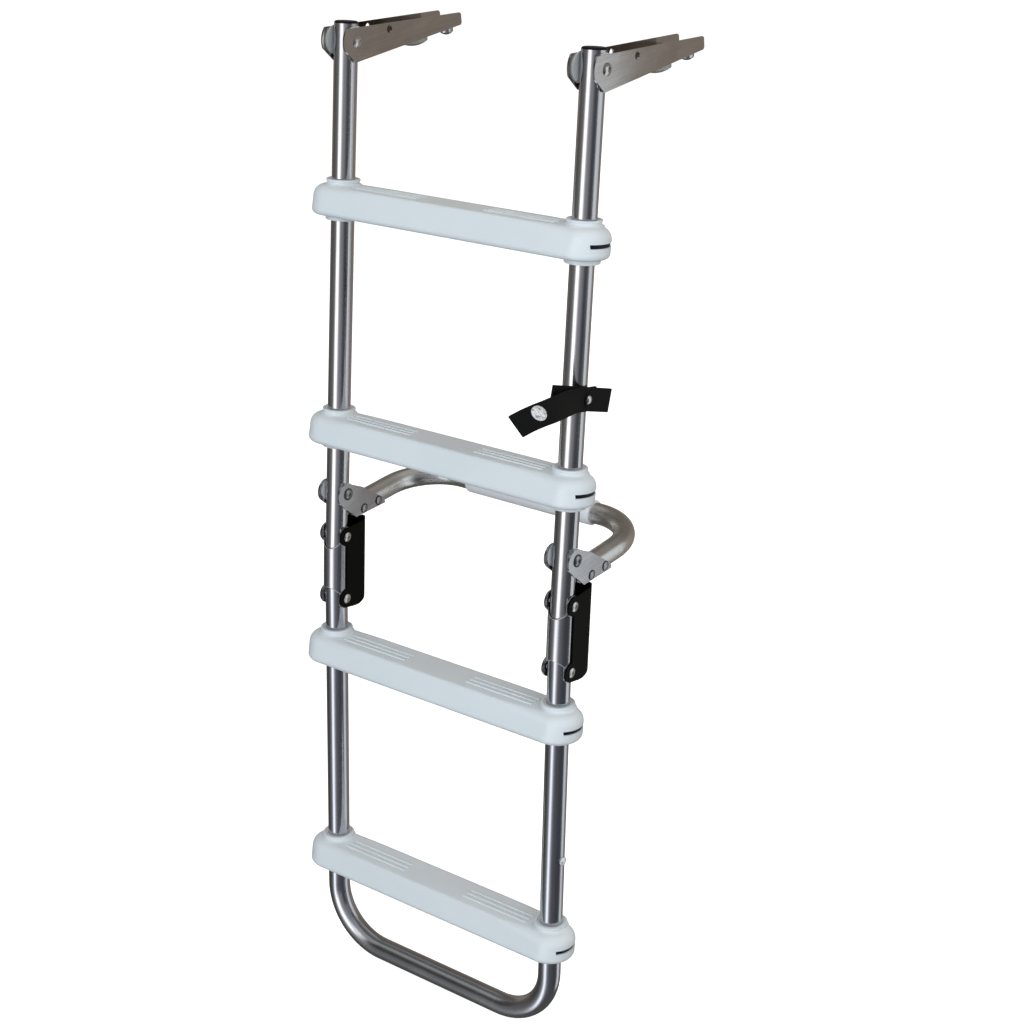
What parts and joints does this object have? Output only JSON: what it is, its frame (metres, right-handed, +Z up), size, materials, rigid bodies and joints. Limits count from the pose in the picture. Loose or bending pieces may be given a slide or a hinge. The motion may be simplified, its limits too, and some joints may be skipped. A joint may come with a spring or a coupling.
{
  "type": "folding boarding ladder",
  "caption": "Folding tube ladder with moulded treads, deck brackets at the top, a two-pivot fold hinge, a swing-up stand-off bail and a storage strap.",
  "frame": {"origin": "on the seat of the left-hand deck bracket, straight below its lock hole, at deck level", "axes": "+X towards the right-hand rail, +Y inboard over the deck, +Z up; the rails lean outboard at the foot"},
  "size_m": [0.3901, 0.3751, 1.0766],
  "materials": {
    "rail_steel": "polished stainless tube",
    "bracket_steel": "satin stainless sheet",
    "fastener_steel": "bright stainless",
    "tread_plastic": "moulded white plastic",
    "white_nylon": "plain nylon",
    "black_plastic": "moulded black plastic",
    "rubber": "black rubber"
  },
  "bodies": {
    "brackets": {"left_deck_bracket": "bracket_steel", "left_pivot_bolt": "fastener_steel", "left_nylon_spacers": "white_nylon", "left_seat_pad": "rubber", "left_deck_stud": "fastener_steel", "right_deck_bracket": "bracket_steel", "right_pivot_bolt": "fastener_steel", "right_nylon_spacers": "white_nylon", "right_seat_pad": "rubber", "right_deck_stud": "fastener_steel"},
    "upper_section": {"left_upper_rail": "rail_steel", "right_upper_rail": "rail_steel", "left_rail_cap": "black_plastic", "right_rail_cap": "black_plastic", "tread_1": "tread_plastic", "tread_2": "tread_plastic", "strap_band": "rubber", "strap_flap": "rubber", "strap_bolt": "fastener_steel", "snap_button": "fastener_steel"},
    "bail": {"bail_tube": "rail_steel", "bail_sleeve": "white_nylon", "left_bail_bracket": "bracket_steel", "left_bail_pivot": "fastener_steel", "left_bail_bolts": "fastener_steel", "right_bail_bracket": "bracket_steel", "right_bail_pivot": "fastener_steel", "right_bail_bolts": "fastener_steel"},
    "fold_link": {"left_fold_sleeve": "rail_steel", "left_hinge_guard": "black_plastic", "left_upper_hinge_bolt": "fastener_steel", "left_lower_hinge_bolt": "fastener_steel", "right_fold_sleeve": "rail_steel", "right_hinge_guard": "black_plastic", "right_upper_hinge_bolt": "fastener_steel", "right_lower_hinge_bolt": "fastener_steel"},
    "lower_section": {"lower_rail": "rail_steel", "tread_3": "tread_plastic", "tread_4": "tread_plastic", "snap_stud": "fastener_steel"}
  },
  "joints": [
    {"name": "ladder_swing", "type": "hinge", "parent": "brackets", "child": "upper_section", "pos_m": [0, -0.0517, 0.021], "axis": [-1, 0, 0], "range_deg": [0, 180]},
    {"name": "link_fold", "type": "hinge", "parent": "upper_section", "child": "fold_link", "pos_m": [0, -0.15688, -0.51263], "axis": [-1, 0, 0], "range_deg": [0, 91]},
    {"name": "lower_fold", "type": "hinge", "parent": "fold_link", "child": "lower_section", "pos_m": [0, -0.16981, -0.586], "axis": [-1, 0, 0], "range_deg": [0, 91]},
    {"name": "bail_fold", "type": "hinge", "parent": "upper_section", "child": "bail", "pos_m": [0, -0.14711, -0.46309], "axis": [1, 0, 0], "range_deg": [0, 55]}
  ]
}
